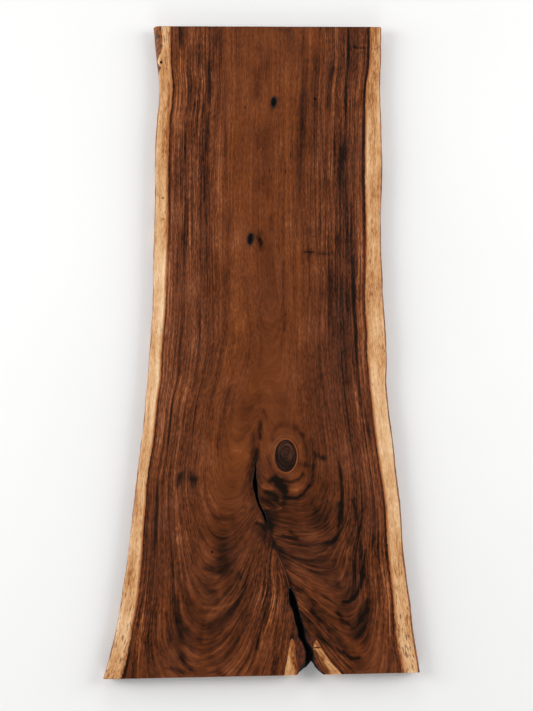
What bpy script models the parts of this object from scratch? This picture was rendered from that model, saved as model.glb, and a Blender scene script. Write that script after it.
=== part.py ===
"""A raintree live edge slab: one sawn plank that keeps the tree's own outline on both long sides.

Metres, +Z up. The slab lies on its back face, with the show face up. +Y runs along it, from the wide
foot end to the head end, and the origin is the middle of the underside.
"""

import math

import bmesh
import bpy
from mathutils import Vector, noise

# Driving dimensions of the plank
HALF_LENGTH = 1.234
THICKNESS = 0.055
FOOT_SAW_SLOPE = 0.0203  # the foot's saw cut rises towards +X
HEAD_SAW_SLOPE = -0.0035  # the head's falls towards +X, hardly at all
LEFT_HEAD_CORNER_X = -0.424
LEFT_FOOT_CORNER_X = -0.574

# The outline of the two live edges at their widest, as (y, x) from foot to head
LEFT_EDGE = (
    (-1.234, -0.574), (-1.166, -0.554), (-1.096, -0.538), (-1.025, -0.524), (-0.954, -0.513),
    (-0.883, -0.503), (-0.811, -0.4935), (-0.703, -0.482), (-0.594, -0.4715), (-0.484, -0.460),
    (-0.410, -0.451), (-0.299, -0.439), (-0.225, -0.435), (-0.112, -0.426), (0.001, -0.420),
    (0.115, -0.4135), (0.191, -0.412), (0.384, -0.4135), (0.500, -0.4095), (0.697, -0.411),
    (0.776, -0.4105), (0.856, -0.4065), (0.935, -0.399), (0.976, -0.398), (1.016, -0.399),
    (1.097, -0.4095), (1.178, -0.4175), (1.234, -0.424),
)
RIGHT_EDGE = (
    (-1.234, 0.574), (-1.166, 0.564), (-1.096, 0.554), (-0.990, 0.544), (-0.918, 0.535),
    (-0.847, 0.5265), (-0.775, 0.5185), (-0.703, 0.5165), (-0.630, 0.513), (-0.557, 0.505),
    (-0.484, 0.497), (-0.373, 0.488), (-0.299, 0.478), (-0.225, 0.471), (-0.165, 0.4655),
    (-0.112, 0.469), (-0.056, 0.4705), (0.001, 0.468), (0.115, 0.4625), (0.191, 0.459),
    (0.384, 0.454), (0.540, 0.4585), (0.618, 0.4605), (0.697, 0.465), (0.776, 0.463),
    (0.895, 0.461), (1.016, 0.4595), (1.097, 0.464), (1.234, 0.467),
)

# The cross-section of a live edge: widest at this share of the thickness, and drawn in above and below
WIDEST_AT = 0.62
DRAWN_IN_AT_FACE = 0.006
DRAWN_IN_AT_BACK = 0.020
ARRIS = 0.003  # the sanded arris along both faces
BARK_SLOPE = 0.011  # the left edge slopes more where bark came off it, near the head
BARK_SLOPE_FROM_Y = 1.00
BARK_SLOPE_FULL_Y = 1.15
RIPPLE = 0.0022
RIPPLES_PER_METRE = 9.0

# Where the box that becomes the plank is sliced, as shares of its length, width and thickness
ROWS = 120
COLUMNS = 8
LAYERS = (0.055, 0.25, 0.45, 0.62, 0.80, 0.945)

# The two cracks in the face, as (y, x of the middle, half width) from foot to head
LOWER_CRACK = (
    (-1.200, 0.174, 0.0200), (-1.165, 0.175, 0.0190), (-1.142, 0.175, 0.0175), (-1.123, 0.169, 0.0165),
    (-1.107, 0.160, 0.0130), (-1.088, 0.149, 0.0155), (-1.070, 0.146, 0.0155), (-1.048, 0.141, 0.0150),
    (-1.020, 0.133, 0.0145), (-0.992, 0.126, 0.0140), (-0.968, 0.118, 0.0180), (-0.947, 0.114, 0.0155),
    (-0.930, 0.110, 0.0110), (-0.918, 0.106, 0.0060), (-0.911, 0.105, 0.0010),
)
UPPER_CRACK = (
    (-0.680, 0.021, 0.0010), (-0.662, 0.015, 0.0038), (-0.641, 0.007, 0.0050), (-0.619, -0.004, 0.0055),
    (-0.597, -0.013, 0.0050), (-0.575, -0.018, 0.0058), (-0.553, -0.022, 0.0088),
    (-0.531, -0.023, 0.0098), (-0.509, -0.023, 0.0065), (-0.487, -0.022, 0.0040),
    (-0.445, -0.021, 0.0010),
)
CRACK_FLOOR = 0.009  # wood left under a crack
CRACK_LEAN = 0.006  # how far a crack's floor lies to the left of its mouth
CRACK_NARROWS_TO = 0.30
CRACK_LAYERS = (0.35, 0.70)

# The rims of the notch between the two limbs, which opens through the foot end, as (y, x of the middle, half
# width). Each row of the face's rim is joined to the same row of the back's.
NOTCH_AT_FACE = (
    (-1.250, 0.180, 0.0640), (-1.218, 0.177, 0.0490), (-1.209, 0.174, 0.0430), (-1.201, 0.172, 0.0360),
    (-1.190, 0.171, 0.0295), (-1.178, 0.173, 0.0225), (-1.160, 0.176, 0.0020),
)
NOTCH_AT_BACK = (
    (-1.250, 0.178, 0.0520), (-1.220, 0.177, 0.0375), (-1.213, 0.177, 0.0295), (-1.206, 0.1785, 0.0230),
    (-1.1995, 0.1815, 0.0140), (-1.1925, 0.183, 0.0087), (-1.182, 0.182, 0.0010),
)

# Dead knots that leave a small pit, as (x, y, half width, half length, depth)
KNOT_PITS = {
    "head_knot": (0.046, 0.927, 0.0105, 0.0180, 0.011),
    "middle_knot": (-0.043, 0.388, 0.0110, 0.0205, 0.011),
}
PIT_SEGMENTS = 14
PIT_RINGS = 8
CLEAR = 0.006  # how far a cutter stands out of the plank

HEARTWOOD_COLOUR = (0.155, 0.048, 0.017, 1.0)
HEARTWOOD_ROUGHNESS = 0.48


def clear_scene():
    for leftover in list(bpy.data.objects):
        bpy.data.objects.remove(leftover)


def smooth_step(value, low, high):
    """0 below low, 1 above high, and an even curve between them."""
    share = min(max((value - low) / (high - low), 0.0), 1.0)
    return share * share * (3.0 - 2.0 * share)


def along(stations, y):
    """The values at y on a smooth curve through stations, whose first number is y and increases."""
    last = len(stations) - 1
    i = max(0, min(last - 1, sum(1 for s in stations if s[0] <= y) - 1))
    before, start, end, after = (stations[max(0, min(last, k))] for k in (i - 1, i, i + 1, i + 2))
    span = end[0] - start[0]
    t = min(max((y - start[0]) / span, 0.0), 1.0)
    values = []
    for a, b, c, d in zip(before[1:], start[1:], end[1:], after[1:]):
        leave = (c - a) / max(end[0] - before[0], 1e-9) * span
        arrive = (d - b) / max(after[0] - start[0], 1e-9) * span
        values.append(
            (2 * t**3 - 3 * t**2 + 1) * b
            + (t**3 - 2 * t**2 + t) * leave
            + (3 * t**2 - 2 * t**3) * c
            + (t**3 - t**2) * arrive
        )
    return values


def sliced_box(across, lengthwise, upward):
    """A unit box from (0, 0, 0) to (1, 1, 1), cut at the given shares of X, Y and Z."""
    box = bmesh.new()
    bmesh.ops.create_cube(box, size=1.0)
    bmesh.ops.translate(box, verts=box.verts, vec=Vector((0.5, 0.5, 0.5)))
    for axis, shares in enumerate((across, lengthwise, upward)):
        normal = Vector((axis == 0, axis == 1, axis == 2))
        for share in shares:
            everything = box.verts[:] + box.edges[:] + box.faces[:]
            bmesh.ops.bisect_plane(box, geom=everything, plane_co=normal * share, plane_no=normal)
    return box


def evenly(count):
    return [step / count for step in range(1, count)]


def add_object(name, shape, collection):
    """Turns a bmesh into an object with outward faces."""
    bmesh.ops.recalc_face_normals(shape, faces=shape.faces)
    mesh = bpy.data.meshes.new(name)
    shape.to_mesh(mesh)
    shape.free()
    made = bpy.data.objects.new(name, mesh)
    collection.objects.link(made)
    return made


def drawn_in(y, height, side):
    """How far a live edge lies inside its widest outline, at a share of the thickness."""
    if height >= WIDEST_AT:
        share = (height - WIDEST_AT) / (1.0 - WIDEST_AT)
        depth = DRAWN_IN_AT_FACE
        if side < 0:
            depth += BARK_SLOPE * smooth_step(y, BARK_SLOPE_FROM_Y, BARK_SLOPE_FULL_Y)
    else:
        share = (WIDEST_AT - height) / WIDEST_AT
        swell = noise.noise(Vector((2.1 * y, 3.0 * side, 0.4)))
        depth = DRAWN_IN_AT_BACK * (1.0 + 0.8 * swell)
    arris = ARRIS if height in (0.0, 1.0) else 0.0
    return depth * share**1.7 + arris


def ripple(y, height, side):
    """The low lumps and hollows that bark leaves on a live edge. They die out at the saw cuts."""
    at = Vector((RIPPLES_PER_METRE * y, 5.0 * side, 1.6 * height))
    fade = smooth_step(HALF_LENGTH - abs(y), 0.0, 0.06)
    return RIPPLE * fade * (noise.noise(at) + 0.5 * noise.noise(2.3 * at))


def plank_point(share_across, share_along, share_up):
    """Where a point of the unit box lies on the plank."""
    nominal_y = (2.0 * share_along - 1.0) * HALF_LENGTH
    left, right = along(LEFT_EDGE, nominal_y)[0], along(RIGHT_EDGE, nominal_y)[0]
    left += drawn_in(nominal_y, share_up, -1) + ripple(nominal_y, share_up, -1)
    right -= drawn_in(nominal_y, share_up, 1) + ripple(nominal_y, share_up, 1)
    x = left + share_across * (right - left)
    foot_y = -HALF_LENGTH + FOOT_SAW_SLOPE * (x - LEFT_FOOT_CORNER_X)
    head_y = HALF_LENGTH + HEAD_SAW_SLOPE * (x - LEFT_HEAD_CORNER_X)
    return Vector((x, foot_y + share_along * (head_y - foot_y), share_up * THICKNESS))


def make_plank(collection):
    shape = sliced_box(evenly(COLUMNS), evenly(ROWS), LAYERS)
    exact = (0.0, *LAYERS, 1.0)
    for vert in shape.verts:
        x, y, z = vert.co
        vert.co = plank_point(x, y, min(exact, key=lambda layer: abs(layer - z)))
    return add_object("slab", shape, collection)


def make_crack(name, stations, collection):
    """A cutter for a crack: narrower and further left towards its floor."""
    first, last = stations[0][0], stations[-1][0]
    cuts = [(s[0] - first) / (last - first) for s in stations[1:-1]]
    shape = sliced_box((), cuts, CRACK_LAYERS)
    for vert in shape.verts:
        across, lengthwise, height = vert.co
        y = first + lengthwise * (last - first)
        middle, half_width = along(stations, y)
        depth = 1.0 - height
        half_width *= 1.0 - (1.0 - CRACK_NARROWS_TO) * depth
        z = CRACK_FLOOR + height * (THICKNESS + CLEAR - CRACK_FLOOR)
        vert.co = (middle - CRACK_LEAN * depth + (2.0 * across - 1.0) * half_width, y, z)
    return add_object(name, shape, collection)


def make_notch(collection):
    """A cutter for the notch: right through the plank, from the rim on the back to the rim on the face."""
    last = len(NOTCH_AT_FACE) - 1
    shape = sliced_box((), evenly(last), ())
    for vert in shape.verts:
        across, lengthwise, height = vert.co
        rim = NOTCH_AT_FACE if height > 0.5 else NOTCH_AT_BACK
        y, middle, half_width = rim[round(lengthwise * last)]
        z = -CLEAR + height * (THICKNESS + 2.0 * CLEAR)
        vert.co = (middle + (2.0 * across - 1.0) * half_width, y, z)
    return add_object("notch_cutter", shape, collection)


def make_pit(name, x, y, half_width, half_length, depth, collection):
    """A cutter for a knot's pit: the lower half of a stretched ball, turned a little across the grain."""
    shape = bmesh.new()
    bmesh.ops.create_uvsphere(shape, u_segments=PIT_SEGMENTS, v_segments=PIT_RINGS, radius=1.0)
    bmesh.ops.scale(shape, verts=shape.verts, vec=Vector((half_width, half_length, depth)))
    made = add_object(name, shape, collection)
    made.location = (x, y, THICKNESS)
    made.rotation_euler.z = math.radians(-8.0)
    return made


def make_material():
    material = bpy.data.materials.new("oiled_raintree")
    material.use_nodes = True
    shader = material.node_tree.nodes["Principled BSDF"]
    shader.inputs["Base Color"].default_value = HEARTWOOD_COLOUR
    shader.inputs["Roughness"].default_value = HEARTWOOD_ROUGHNESS
    shader.inputs["Metallic"].default_value = 0.0
    return material


def make_slab():
    parts = bpy.data.collections.new("raintree_slab")
    cutters = bpy.data.collections.new("cutters")
    for collection in (parts, cutters):
        bpy.context.scene.collection.children.link(collection)
    slab = make_plank(parts)
    made = [
        make_crack("lower_crack_cutter", LOWER_CRACK, cutters),
        make_crack("upper_crack_cutter", UPPER_CRACK, cutters),
        make_notch(cutters),
    ]
    made += [make_pit(f"{name}_cutter", *sizes, cutters) for name, sizes in KNOT_PITS.items()]
    for cutter in made:
        cutter.hide_render = True
        cutter.display_type = "WIRE"
        cut = slab.modifiers.new(cutter.name, "BOOLEAN")
        cut.operation = "DIFFERENCE"
        cut.object = cutter
    slab.data.materials.append(make_material())
    slab.data.shade_smooth()
    slab.data.set_sharp_from_angle(angle=math.radians(35.0))


clear_scene()
make_slab()
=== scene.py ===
"""Looks of the raintree live edge slab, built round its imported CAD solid.

Metres, +Z up, as in the part's source. The slab lies on its back face with the show face up, and +Y runs
from the wide foot end to the head end.
"""

import math
from functools import partial, reduce
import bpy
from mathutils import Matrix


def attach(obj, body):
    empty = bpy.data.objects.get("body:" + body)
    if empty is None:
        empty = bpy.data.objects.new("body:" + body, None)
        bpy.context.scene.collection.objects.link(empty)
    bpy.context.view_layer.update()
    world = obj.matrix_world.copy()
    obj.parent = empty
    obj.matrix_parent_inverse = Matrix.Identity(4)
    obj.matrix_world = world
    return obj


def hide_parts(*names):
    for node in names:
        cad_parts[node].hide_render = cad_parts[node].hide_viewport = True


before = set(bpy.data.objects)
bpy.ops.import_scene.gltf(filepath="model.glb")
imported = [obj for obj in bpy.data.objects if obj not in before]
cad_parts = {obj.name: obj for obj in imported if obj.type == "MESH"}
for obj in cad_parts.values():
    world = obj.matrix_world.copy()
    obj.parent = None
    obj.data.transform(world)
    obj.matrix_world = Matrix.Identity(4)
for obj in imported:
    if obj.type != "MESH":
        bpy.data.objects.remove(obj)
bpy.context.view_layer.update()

from types import SimpleNamespace

import bmesh
import bpy
import numpy as np
from mathutils import Vector, noise

# The plank, as in the part's source
HALF_LENGTH = 1.234
THICKNESS = 0.055
FOOT_SAW_SLOPE = 0.0203
HEAD_SAW_SLOPE = -0.0035
LEFT_HEAD_CORNER_X = -0.424
LEFT_FOOT_CORNER_X = -0.574

# The two live edges at their widest, as (y, x) from foot to head
LEFT_EDGE = (
    (-1.234, -0.574), (-1.166, -0.554), (-1.096, -0.538), (-1.025, -0.524), (-0.954, -0.513),
    (-0.883, -0.503), (-0.811, -0.4935), (-0.703, -0.482), (-0.594, -0.4715), (-0.484, -0.46),
    (-0.41, -0.451), (-0.299, -0.439), (-0.225, -0.435), (-0.112, -0.426), (0.001, -0.42),
    (0.115, -0.4135), (0.191, -0.412), (0.384, -0.4135), (0.5, -0.4095), (0.697, -0.411),
    (0.776, -0.4105), (0.856, -0.4065), (0.935, -0.399), (0.976, -0.398), (1.016, -0.399),
    (1.097, -0.4095), (1.178, -0.4175), (1.234, -0.424),
)
RIGHT_EDGE = (
    (-1.234, 0.574), (-1.166, 0.564), (-1.096, 0.554), (-0.99, 0.544), (-0.918, 0.535), (-0.847, 0.5265),
    (-0.775, 0.5185), (-0.703, 0.5165), (-0.63, 0.513), (-0.557, 0.505), (-0.484, 0.497), (-0.373, 0.488),
    (-0.299, 0.478), (-0.225, 0.471), (-0.165, 0.4655), (-0.112, 0.469), (-0.056, 0.4705), (0.001, 0.468),
    (0.115, 0.4625), (0.191, 0.459), (0.384, 0.454), (0.54, 0.4585), (0.618, 0.4605), (0.697, 0.465),
    (0.776, 0.463), (0.895, 0.461), (1.016, 0.4595), (1.097, 0.464), (1.234, 0.467),
)
WIDEST_AT = 0.62
DRAWN_IN_AT_FACE = 0.006
DRAWN_IN_AT_BACK = 0.02
ARRIS = 0.003
BARK_SLOPE = 0.011
BARK_SLOPE_FROM_Y = 1.0
BARK_SLOPE_FULL_Y = 1.15
RIPPLE = 0.0022
RIPPLES_PER_METRE = 9.0
FINE_RIPPLE = 0.0009
FINE_RIPPLES_PER_METRE = 34.0

# The cracks in the face, as (y, x of the middle, half width) from foot to head
LOWER_CRACK = (
    (-1.2, 0.174, 0.02), (-1.165, 0.175, 0.019), (-1.142, 0.175, 0.0175), (-1.123, 0.169, 0.0165),
    (-1.107, 0.16, 0.013), (-1.088, 0.149, 0.0155), (-1.07, 0.146, 0.0155), (-1.048, 0.141, 0.015),
    (-1.02, 0.133, 0.0145), (-0.992, 0.126, 0.014), (-0.968, 0.118, 0.018), (-0.947, 0.114, 0.0155),
    (-0.93, 0.11, 0.011), (-0.918, 0.106, 0.006), (-0.911, 0.105, 0.001),
)
UPPER_CRACK = (
    (-0.68, 0.021, 0.001), (-0.662, 0.015, 0.0038), (-0.641, 0.007, 0.005), (-0.619, -0.004, 0.0055),
    (-0.597, -0.013, 0.005), (-0.575, -0.018, 0.0058), (-0.553, -0.022, 0.0088), (-0.531, -0.023, 0.0098),
    (-0.509, -0.023, 0.0065), (-0.487, -0.022, 0.004), (-0.445, -0.021, 0.001),
)
CRACK_FLOOR = 0.009
CRACK_LEAN = 0.006
CRACK_NARROWS_TO = 0.3
# The rims of the notch, as (y, x of the middle, half width). Each row of one rim is joined to the same
# row of the other.
NOTCH_AT_FACE = (
    (-1.25, 0.18, 0.064), (-1.218, 0.177, 0.049), (-1.209, 0.174, 0.043), (-1.201, 0.172, 0.036),
    (-1.19, 0.171, 0.0295), (-1.178, 0.173, 0.0225), (-1.16, 0.176, 0.002),
)
NOTCH_AT_BACK = (
    (-1.25, 0.178, 0.052), (-1.22, 0.177, 0.0375), (-1.213, 0.177, 0.0295), (-1.206, 0.1785, 0.023),
    (-1.1995, 0.1815, 0.014), (-1.1925, 0.183, 0.0087), (-1.182, 0.182, 0.001),
)
CLEAR = 0.006  # how far a cutter stands out of the plank
RAGGED = 0.0012  # how far a crack's walls wander
RAGGED_FROM = 0.006  # below this half width they wander less
LEAST_HALF_WIDTH = 0.0008
CRACK_ROW = 0.003
NOTCH_ROWS = 22
WALL_LAYERS = 9

# Dead knots as (x, y, half width, half length, depth), and the beetle's hole as (x, y, radius, depth)
KNOT_PITS = {
    "head_knot": (0.046, 0.927, 0.0105, 0.018, 0.011),
    "middle_knot": (-0.043, 0.388, 0.011, 0.0205, 0.011),
}
KNOT_TURN = math.radians(-8.0)
BEETLE_HOLE = (-0.3905, 1.087, 0.0044, 0.014)

# The mesh of the dressed slab
COLUMNS = 232
BACK_COLUMN = 4  # columns of the face to one of the back
BUSY_UP_TO_Y = -0.33
BUSY_ROWS = 150
PLAIN_ROWS = 112
LAYERS = (
    0.0, 0.006, 0.02, 0.045, 0.09, 0.17, 0.27, 0.38, 0.49, 0.6, 0.7, 0.79, 0.87, 0.93, 0.965,
    0.988, 1.0,
)

# The photograph's camera, which is the scene's camera too
LEAN = math.radians(7.0)
FOCAL_IN_PIXELS = 1050.0
PHOTO_WIDTH, PHOTO_HEIGHT = 533, 711
CAMERA_DISTANCE = 3.93
AIM = Vector((0.018, -0.0577, THICKNESS))
SENSOR = 36.0

RINGS_PER_METRE = 2.6  # how fast ring numbers grow along the face where it cuts the rings upright
MOST_STEEPNESS = 1.3  # a steepness of 1 is that growth
PITH_WIDTH = 0.07  # how far beside the pith its two sides blend

# The border between heartwood and sapwood on each side of the face, as (y, x)
HEART_LEFT = (
    (-1.26, -0.511), (-1.167, -0.4875), (-1.096, -0.475), (-0.954, -0.45), (-0.811, -0.438),
    (-0.667, -0.43), (-0.594, -0.4245), (-0.521, -0.423), (-0.447, -0.4125), (-0.374, -0.3997),
    (-0.225, -0.3865), (-0.15, -0.376), (-0.075, -0.3735), (0.076, -0.36), (0.384, -0.3565),
    (0.696, -0.3565), (0.855, -0.355), (0.895, -0.35), (0.935, -0.3395), (1.015, -0.346), (1.056, -0.351),
    (1.096, -0.3525), (1.26, -0.3545),
)
HEART_RIGHT = (
    (-1.26, 0.5105), (-1.167, 0.5015), (-1.096, 0.4875), (-0.954, 0.477), (-0.811, 0.4625),
    (-0.667, 0.4547), (-0.63, 0.4545), (-0.594, 0.451), (-0.521, 0.4422), (-0.374, 0.4213),
    (-0.225, 0.406), (-0.075, 0.3955), (-0.04, 0.3945), (0.001, 0.3895), (0.076, 0.388), (0.191, 0.3905),
    (0.384, 0.395), (0.696, 0.3945), (0.855, 0.398), (0.935, 0.399), (1.015, 0.406), (1.056, 0.4135),
    (1.096, 0.4173), (1.26, 0.42),
)

# The pith of each limb, which both limbs share towards the head, as (y, x, ring number where the face
# passes over the pith, reach of the rings towards the other limb). A ring number is 0 at the pith and 1 at
# the sapwood.
LEFT_LIMB = (
    (-1.26, -0.227, 0.83, 0.296), (-1.223, -0.226, 0.81, 0.3), (-1.167, -0.223, 0.775, 0.308),
    (-1.096, -0.223, 0.735, 0.318), (-1.025, -0.213, 0.7, 0.318), (-0.918, -0.192, 0.65, 0.306),
    (-0.829, -0.168, 0.595, 0.262), (-0.739, -0.142, 0.52, 0.236), (-0.648, -0.123, 0.43, 0.258),
    (-0.557, -0.112, 0.35, 0.315), (-0.447, -0.098, 0.3, 0.362), (-0.336, -0.08, 0.25, 0.372),
    (-0.225, -0.048, 0.205, 0.374), (-0.112, 0.002, 0.175, 0.372), (-0.007, 0.034, 0.15, 0.36),
    (0.1, 0.036, 0.095, 0.355), (0.191, 0.0355, 0.055, 0.3545), (0.384, 0.024, 0.045, 0.366),
    (0.697, 0.024, 0.045, 0.367), (1.016, 0.0315, 0.05, 0.3715), (1.26, 0.032, 0.055, 0.388),
)
RIGHT_LIMB = (
    (-1.26, 0.374, 0.93, 0.055), (-1.219, 0.363, 0.92, 0.072), (-1.167, 0.345, 0.895, 0.098),
    (-1.096, 0.325, 0.855, 0.135), (-1.025, 0.31, 0.815, 0.185), (-0.961, 0.296, 0.775, 0.248),
    (-0.918, 0.279, 0.755, 0.29), (-0.847, 0.236, 0.715, 0.348), (-0.757, 0.186, 0.64, 0.412),
    (-0.666, 0.15, 0.48, 0.448), (-0.594, 0.128, 0.38, 0.47), (-0.52, 0.112, 0.29, 0.485),
    (-0.41, 0.1, 0.25, 0.48), (-0.299, 0.084, 0.23, 0.462), (-0.187, 0.066, 0.205, 0.445),
    (-0.112, 0.052, 0.18, 0.43), (-0.007, 0.0395, 0.15, 0.41), (0.1, 0.036, 0.095, 0.397),
    (0.191, 0.0355, 0.055, 0.394), (0.384, 0.024, 0.045, 0.38), (0.697, 0.024, 0.045, 0.381),
    (1.016, 0.0315, 0.05, 0.3755), (1.26, 0.032, 0.055, 0.384),
)
# Where the two limbs' wood meets, as (y, x)
SEAM = (
    (-1.26, 0.168), (-1.1, 0.16), (-1, 0.131), (-0.918, 0.107), (-0.893, 0.102), (-0.847, 0.092),
    (-0.793, 0.072), (-0.739, 0.046), (-0.681, 0.0235), (-0.623, 0.0015), (-0.557, -0.013),
    (-0.5, -0.021), (-0.429, -0.021), (-0.336, -0.006), (-0.269, 0.005), (-0.15, 0.024), (-0.007, 0.035),
    (0.1, 0.036), (1.26, 0.036),
)
# Up to this far beside the seam there is no outer sapwood, and from there on it counts in full
SEAM_WOOD_UP_TO = 0.12
SEAM_WOOD_ENDS_AT = 0.14
# The sound knot on the face, as (x, y, half width, half length)
SOUND_KNOT = (0.0895, -0.4315, 0.04, 0.059)
KNOT_PARTS_GRAIN = 0.66  # how far out it parts the grain, in its own size

# The two wedges of sapwood beside the notch, from the foot up, as (row of the photograph, left edge and
# right edge in its pixels). Bark grew in between them.
LEFT_WEDGE = (
    (677, 284, 297.6), (670, 285, 297.6), (665, 285.8, 297), (660, 286.9, 296.3), (655, 287.8, 296),
    (650, 288.6, 295.6), (645, 289.6, 295), (641, 290.4, 294), (638.5, 292.1, 292.1),
)
RIGHT_WEDGE = (
    (677, 328, 344), (670, 322.5, 338.5), (665, 319.5, 333.5), (660, 317, 329.5), (655, 314.5, 326),
    (650, 313.2, 322.5), (646, 313.5, 320.3), (643, 314, 319), (639.5, 316.2, 316.2),
)
# Patches of thin bark left on the face along the left edge, as (y, width)
BARK_RIM = (
    (0.98, 0.002), (1.045, 0.003), (1.06, 0.014), (1.072, 0.014), (1.085, 0.004), (1.1, 0.004),
    (1.112, 0.012), (1.13, 0.026), (1.16, 0.036), (1.25, 0.036),
)
RIGHT_BARK_WIDTH = 0.006
# How far beside an opening its dark walls are looked for, how thin the plank's outermost skin is, and
# below which upward part of its normal a face is steep
BESIDE = 0.004
SKIN = 0.001
STEEP = 0.7

# Marks on the face, in pixels of the photograph

# Long streaks that follow the grain, as (x and y of its start, x and y of its end, half width in mm,
# darkness). Below 0 they are light.
GRAIN_STREAKS = (
    (207.5, 58, 207.7, 110, 8.5, 0.8), (207.7, 110, 206, 160, 8.5, 0.76), (206, 160, 205.5, 205, 8, 0.68),
    (205.5, 205, 206.5, 225, 6, 0.6), (196.5, 122, 196, 225, 9, -0.32), (217, 60, 215.5, 90, 5, 0.42),
    (215.5, 90, 214, 122, 5, 0.36), (339, 112, 339, 158, 7, -0.28), (345.5, 126, 345, 160, 7, 0.32),
    (333, 116, 333, 154, 6, 0.34), (355, 192, 355, 238, 5, -0.4), (206.5, 218, 207, 308, 2.5, 0.5),
    (219, 27, 211, 80, 10, 0.5), (213, 80, 211, 125, 5, 0.45), (226, 105, 227, 205, 5, 0.35),
    (217, 120, 217, 260, 12, -0.16), (193.5, 27, 192.5, 128, 3, 0.75), (180.5, 46, 181.5, 94, 2.5, -0.75),
    (177.5, 60, 178.5, 128, 2.5, -0.45), (197.5, 62, 198, 125, 9, -0.25),
    (210.5, 65, 209.5, 130, 2.5, -0.45), (184.5, 60, 185.5, 110, 2.5, -0.4), (181, 27, 181, 50, 7, 0.6),
    (186, 95, 187, 190, 3, 0.3), (187, 190, 184, 262, 5, 0.4), (173.5, 27, 175, 78, 8, 0.14),
    (170, 145, 169.5, 245, 4, 0.4), (177, 250, 177, 288, 5, 0.4), (200, 298, 191, 402, 5, 0.5),
    (180, 325, 176, 385, 6, 0.5), (176, 385, 166, 452, 6.5, 0.6), (222, 415, 217, 455, 7, 0.3),
    (158, 478, 153, 560, 8, 0.5), (153, 560, 146, 660, 8, 0.5), (149, 490, 142, 590, 4, 0.45),
    (142, 590, 131, 660, 5, 0.45), (348, 27, 347.5, 80, 7, 0.55), (347.5, 80, 346, 132, 6, 0.7),
    (343, 140, 344, 240, 14, 0.5), (345, 230, 349, 378, 20, 0.42), (350.5, 196, 351, 250, 3, 0.5),
    (352.3, 250, 358, 368, 5, 0.75), (332, 60, 328, 112, 13, 0.55), (305, 72, 301, 140, 8, 0.4),
    (301, 140, 299, 210, 5, 0.3), (303, 27, 301, 62, 5, 0.15), (316, 27, 316, 245, 2, 0.4),
    (328, 262, 330, 345, 5, 0.12), (318, 338, 321, 385, 7, 0.4), (309, 240, 310, 300, 4, 0.35),
    (363.5, 110, 363.5, 245, 5, 0.6), (369, 27, 364, 110, 5, 0.7), (357, 372, 372, 445, 5, 0.45),
    (338, 456, 340, 522, 6, 0.85), (366, 548, 362, 580, 5, 0.9), (322, 380, 330, 430, 6, 0.3),
    (377.5, 490, 380.5, 535, 7, -0.42), (373.5, 545, 377, 590, 7, -0.36), (174, 490, 176, 560, 5, 0.18),
    (158.5, 500, 155.5, 545, 5, 0.32), (152.5, 500, 149.5, 545, 5, -0.25),
    (362.5, 27, 361.5, 44, 8, -0.35), (362, 51, 358.5, 98, 7, -0.5), (338, 27, 338, 70, 5, -0.3),
    (357.5, 90, 356, 128, 5, -0.4), (358, 190, 359.5, 300, 11, -0.35), (360, 300, 365, 385, 11, -0.3),
    (332, 262, 338, 352, 26, 0.38), (338, 348, 346, 390, 20, 0.3), (322, 296, 323.5, 334, 6, -0.35),
    (188, 545, 195, 566, 2.5, 0.55), (183, 645, 200, 657, 2.5, -0.4), (200, 656, 232, 632, 2.5, -0.5),
    (232, 632, 246, 608, 2.5, -0.4), (228, 608, 250, 575, 2.5, -0.4), (262, 556, 248, 610, 4, -0.22),
    (263, 590, 250, 640, 4, -0.22), (273, 600, 262, 650, 4, -0.25), (258, 636, 247, 676, 8, 0.6),
    (268, 600, 256, 655, 4, 0.4),
)

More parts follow.
